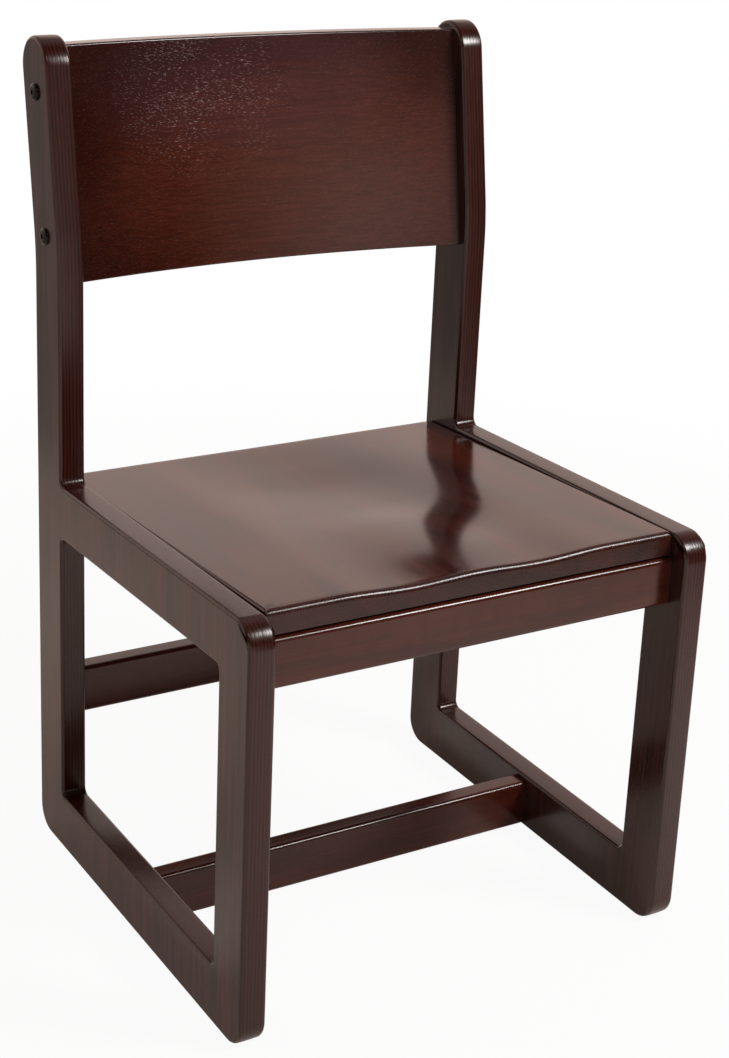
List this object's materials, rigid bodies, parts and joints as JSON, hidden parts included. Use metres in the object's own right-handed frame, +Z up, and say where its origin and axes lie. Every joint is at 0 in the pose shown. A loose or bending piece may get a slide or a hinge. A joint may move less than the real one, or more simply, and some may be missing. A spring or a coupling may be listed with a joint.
{
  "type": "wooden chair",
  "caption": "Armless wooden chair on sled runners: plywood side frames tied by rails carry a saddle seat and a curved back panel between leaning posts.",
  "frame": {"origin": "on the floor, under the middle of the chair's whole box", "axes": "+Z up, -Y towards the front of the chair, +X to the right as seen from the front"},
  "size_m": [0.5336, 0.532, 0.8999],
  "materials": {
    "frame_plywood": "dark brown stained multi-ply board, satin lacquer",
    "seat_wood": "dark red-brown stained hardwood, satin-gloss lacquer",
    "panel_wood": "dark red-brown stained hardwood, satin-gloss lacquer",
    "rail_wood": "dark red-brown stained hardwood, satin-gloss lacquer",
    "dowel_wood": "plain pale hardwood",
    "cleat_wood": "stained hardwood, matt",
    "bolt_black": "dark bronze-black, satin",
    "insert_brass": "plain",
    "screw_steel": "zinc plated"
  },
  "bodies": {
    "root": {"back_panel": "panel_wood", "front_apron": "rail_wood", "front_apron_left_dowels": "dowel_wood", "front_apron_right_dowels": "dowel_wood", "left_cleat_screws": "screw_steel", "left_lower_back_bolt": "bolt_black", "left_lower_panel_insert": "insert_brass", "left_seat_cleat": "cleat_wood", "left_seat_screws": "screw_steel", "left_side_frame": "frame_plywood", "left_upper_back_bolt": "bolt_black", "left_upper_panel_insert": "insert_brass", "rear_stretcher": "rail_wood", "rear_stretcher_left_dowels": "dowel_wood", "rear_stretcher_right_dowels": "dowel_wood", "right_cleat_screws": "screw_steel", "right_lower_back_bolt": "bolt_black", "right_lower_panel_insert": "insert_brass", "right_seat_cleat": "cleat_wood", "right_seat_screws": "screw_steel", "right_side_frame": "frame_plywood", "right_upper_back_bolt": "bolt_black", "right_upper_panel_insert": "insert_brass", "runner_stretcher": "rail_wood", "runner_stretcher_left_dowels": "dowel_wood", "runner_stretcher_right_dowels": "dowel_wood", "seat": "seat_wood"}
  },
  "joints": []
}
